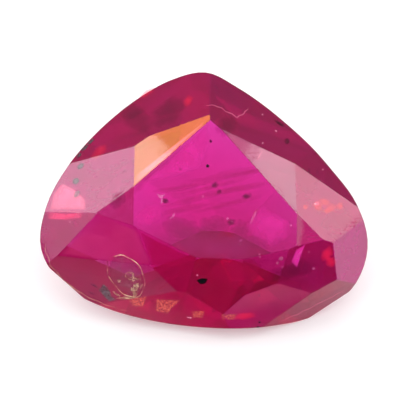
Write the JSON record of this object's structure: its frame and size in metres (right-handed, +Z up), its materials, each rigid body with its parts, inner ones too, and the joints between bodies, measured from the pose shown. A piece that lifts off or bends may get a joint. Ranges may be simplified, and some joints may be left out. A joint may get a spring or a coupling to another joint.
{
  "type": "faceted ruby",
  "caption": "Small transparent red gemstone cut as a rounded triangle, with a broad table, sloping crown facets, a ground girdle of uneven width and a low pavilion.",
  "frame": {"origin": "centre of the bounding box's footprint, on the surface that the stone lies on", "axes": "+Z up, +X to the right as the table is faced, -Y toward the side that the table leans to; the tip points to +Y and up"},
  "size_m": [0.0054, 0.0034, 0.0031],
  "materials": {
    "ruby_crystal": "polished clear red crystal"
  },
  "bodies": {
    "root": {"ruby": "ruby_crystal"}
  },
  "joints": []
}
